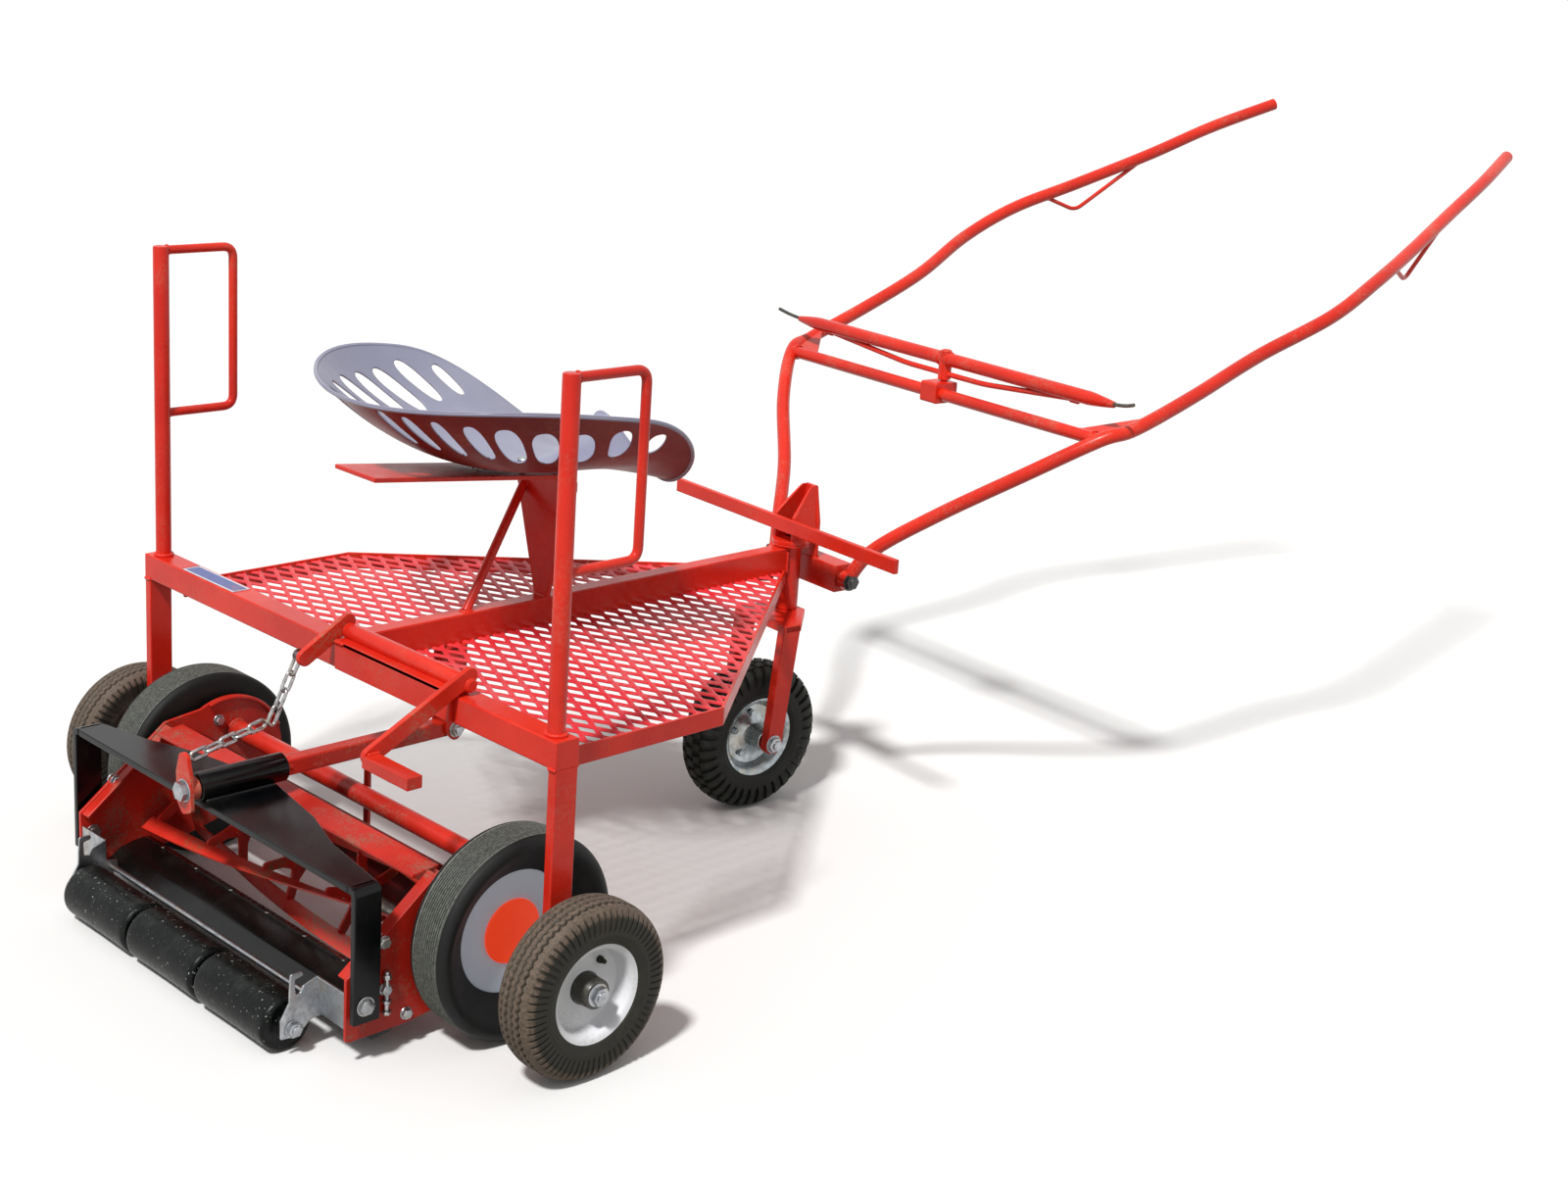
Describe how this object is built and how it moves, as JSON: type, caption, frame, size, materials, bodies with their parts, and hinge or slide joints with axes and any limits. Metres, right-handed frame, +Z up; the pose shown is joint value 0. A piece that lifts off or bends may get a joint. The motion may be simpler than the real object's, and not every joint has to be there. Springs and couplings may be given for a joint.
{
  "type": "reel gang mower",
  "caption": "Horse-drawn riding reel mower: red steel cart with pan seat, mesh deck, shafts and swivel front wheel, towing a lever-lifted reel cutter",
  "frame": {"origin": "on the ground, midway along and across the whole machine, below the platform", "axes": "+X forward toward the shafts' tips, +Y to the driver's left, +Z up"},
  "size_m": [2.5446, 1.095, 1.0783],
  "materials": {
    "red_enamel": "gloss",
    "black_enamel": "gloss",
    "zinc_plate": "satin",
    "silver_enamel": "satin",
    "tyre_rubber": "matte",
    "roller_plastic": "matte",
    "white_enamel": "gloss",
    "grey_enamel": "satin",
    "bare_steel": "satin"
  },
  "bodies": {
    "cart": {"crossbeam": "red_enamel", "left_post": "red_enamel", "right_post": "red_enamel", "centre_beam": "red_enamel", "head_tube": "red_enamel", "left_handrail": "red_enamel", "right_handrail": "red_enamel", "left_platform_rail": "red_enamel", "right_platform_rail": "red_enamel", "left_platform_mesh": "red_enamel", "right_platform_mesh": "red_enamel", "seat_pan": "silver_enamel", "seat_plate": "red_enamel", "seat_stand": "red_enamel", "seat_brace": "red_enamel", "front_seat_bolt": "zinc_plate", "rear_seat_bolt": "zinc_plate", "lift_bracket": "red_enamel", "draft_bracket": "red_enamel", "draft_bolt": "zinc_plate"},
    "left_cart_wheel": {"left_cart_tyre": "tyre_rubber", "left_cart_rim": "white_enamel"},
    "right_cart_wheel": {"right_cart_tyre": "tyre_rubber", "right_cart_rim": "white_enamel"},
    "swivel": {"swivel_head": "red_enamel", "foot_bar": "red_enamel", "front_fork": "red_enamel", "front_axle": "zinc_plate", "shaft_bolt": "bare_steel"},
    "front_wheel": {"front_tyre": "tyre_rubber", "front_rim": "zinc_plate"},
    "shaft_frame": {"left_shaft": "red_enamel", "right_shaft": "red_enamel", "shaft_crossbar": "red_enamel", "singletree_pin": "red_enamel"},
    "tree": {"singletree": "red_enamel"},
    "lever": {"lift_lever": "red_enamel"},
    "upper_chain": {"chain_upper": "zinc_plate"},
    "draft": {"draft_tube": "red_enamel"},
    "lower_chain": {"chain_lower": "zinc_plate"},
    "yoke_frame": {"yoke": "black_enamel"},
    "mower": {"left_side_plate": "red_enamel", "right_side_plate": "red_enamel", "left_yoke_bolt": "zinc_plate", "right_yoke_bolt": "zinc_plate", "cross_tube": "red_enamel", "top_bar": "red_enamel", "cutter_bar": "black_enamel", "roller_bracket": "zinc_plate", "roller_shaft": "zinc_plate"},
    "reel": {"reel_blades": "red_enamel", "reel_shaft": "bare_steel"},
    "left_drive_wheel": {"left_drive_tyre": "tyre_rubber", "left_drive_disc": "grey_enamel"},
    "right_drive_wheel": {"right_drive_tyre": "tyre_rubber", "right_drive_disc": "grey_enamel"},
    "roller": {"left_roller": "roller_plastic", "middle_roller": "roller_plastic", "right_roller": "roller_plastic"}
  },
  "joints": [
    {"name": "left_cart_wheel_spin", "type": "hinge", "parent": "cart", "child": "left_cart_wheel", "pos_m": [-0.98748, 0.508, 0.113], "axis": [0, 1, 0], "continuous": true},
    {"name": "right_cart_wheel_spin", "type": "hinge", "parent": "cart", "child": "right_cart_wheel", "pos_m": [-0.98748, -0.508, 0.113], "axis": [0, 1, 0], "continuous": true},
    {"name": "front_steering", "type": "hinge", "parent": "cart", "child": "swivel", "pos_m": [-0.14848, 0, 0], "axis": [0, 0, 1], "range_deg": [-40, 50]},
    {"name": "front_wheel_spin", "type": "hinge", "parent": "swivel", "child": "front_wheel", "pos_m": [-0.22491, -0.01123, 0.1188], "axis": [0.0958, 0.9954, 0], "continuous": true},
    {"name": "shaft_lift", "type": "hinge", "parent": "swivel", "child": "shaft_frame", "pos_m": [-0.10369, -0.00431, 0.371], "axis": [0.0958, 0.9954, 0], "range_deg": [-25, 20]},
    {"name": "singletree_swing", "type": "hinge", "parent": "shaft_frame", "child": "tree", "pos_m": [0.15213, -0.02894, 0.687], "axis": [0, 0, 1], "range_deg": [-12, 12]},
    {"name": "lift_lever_turn", "type": "hinge", "parent": "cart", "child": "lever", "pos_m": [-0.98748, 0, 0.4255], "axis": [0, 1, 0], "range_deg": [0, 100]},
    {"name": "upper_chain_turn", "type": "hinge", "parent": "lever", "child": "upper_chain", "pos_m": [-1.05248, -0.0025, 0.399], "axis": [0, 1, 0], "range_deg": [-86, 0]},
    {"name": "draft_lift", "type": "hinge", "parent": "cart", "child": "draft", "pos_m": [-0.80748, 0, 0.25], "axis": [0, 1, 0], "range_deg": [0, 14]},
    {"name": "lower_chain_turn", "type": "hinge", "parent": "draft", "child": "lower_chain", "pos_m": [-1.20418, 0, 0.293], "axis": [0, 1, 0], "range_deg": [-24, 0]},
    {"name": "yoke_roll", "type": "hinge", "parent": "draft", "child": "yoke_frame", "pos_m": [-1.13848, 0, 0.25], "axis": [1, 0, 0], "range_deg": [-5, 5]},
    {"name": "mower_pitch", "type": "hinge", "parent": "yoke_frame", "child": "mower", "pos_m": [-1.18448, -0.016, 0.082], "axis": [0, 1, 0], "range_deg": [-4, 6]},
    {"name": "reel_spin", "type": "hinge", "parent": "mower", "child": "reel", "pos_m": [-1.05548, -0.016, 0.122], "axis": [0, 1, 0], "continuous": true},
    {"name": "left_drive_wheel_spin", "type": "hinge", "parent": "mower", "child": "left_drive_wheel", "pos_m": [-0.98748, 0.3415, 0.134], "axis": [0, 1, 0], "continuous": true},
    {"name": "right_drive_wheel_spin", "type": "hinge", "parent": "mower", "child": "right_drive_wheel", "pos_m": [-0.98748, -0.3735, 0.134], "axis": [0, 1, 0], "continuous": true},
    {"name": "roller_spin", "type": "hinge", "parent": "mower", "child": "roller", "pos_m": [-1.23348, -0.016, 0.036], "axis": [0, 1, 0], "continuous": true}
  ],
  "couplings": [
    {"joint": "upper_chain_turn", "follows": "lift_lever_turn", "ratio": -0.84},
    {"joint": "draft_lift", "follows": "lift_lever_turn", "ratio": 0.138},
    {"joint": "lower_chain_turn", "follows": "lift_lever_turn", "ratio": -0.232},
    {"joint": "reel_spin", "follows": "left_drive_wheel_spin", "ratio": 5}
  ]
}
